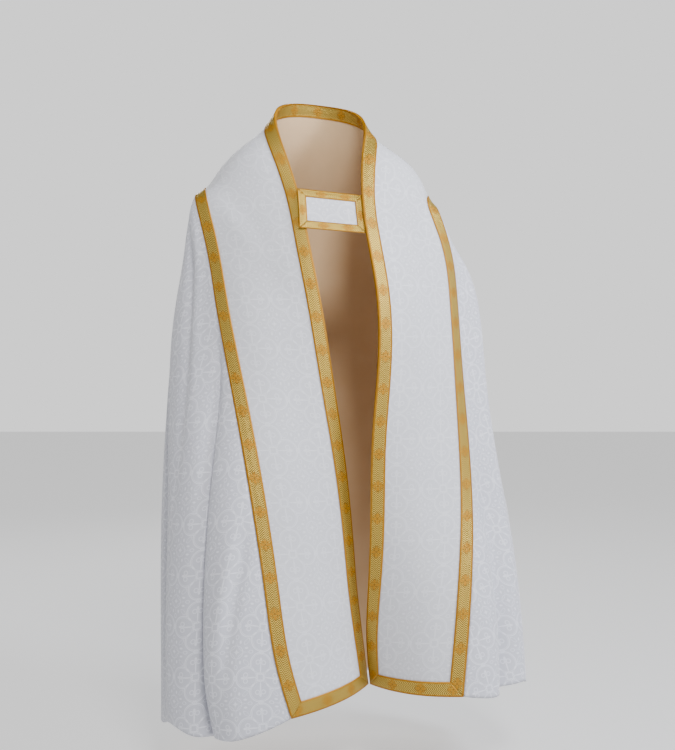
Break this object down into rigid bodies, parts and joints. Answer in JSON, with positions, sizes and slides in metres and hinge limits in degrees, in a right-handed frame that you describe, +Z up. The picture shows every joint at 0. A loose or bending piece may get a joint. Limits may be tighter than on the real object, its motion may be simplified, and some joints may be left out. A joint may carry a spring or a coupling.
{
  "type": "cope vestment",
  "caption": "White figured-damask cope in its hollow worn form, with gold galloon along the orphreys and hem corners, a fringed hood on the back and a clasp across the chest.",
  "frame": {"origin": "the middle between the wearer's shoulders, at the height where the cope bears on them", "axes": "+Z up along the cope's length, -Y towards the wearer's front, +X towards the wearer's left"},
  "size_m": [0.8233, 0.5084, 1.4027],
  "materials": {
    "damask": "white on white figured damask, satin figure on a matt ground",
    "galloon": "woven metallic gold braid with orange-gold borders",
    "lining": "plain pinkish cream taffeta lining",
    "fringe": "twisted antique gold bullion cords"
  },
  "bodies": {
    "root": {"body_right": "damask", "body_left": "damask", "orphrey_right": "damask", "orphrey_left": "damask", "hood": "damask", "morse": "damask", "lining_body": "lining", "lining_orphrey": "lining", "galloon_edge": "galloon", "galloon_seam": "galloon", "galloon_hem_right": "galloon", "galloon_hem_left": "galloon", "galloon_back_seam": "galloon", "galloon_neck_inside": "galloon", "galloon_hood_border": "galloon", "galloon_hood_frame": "galloon", "galloon_morse": "galloon", "hood_fringe": "fringe"}
  },
  "joints": []
}
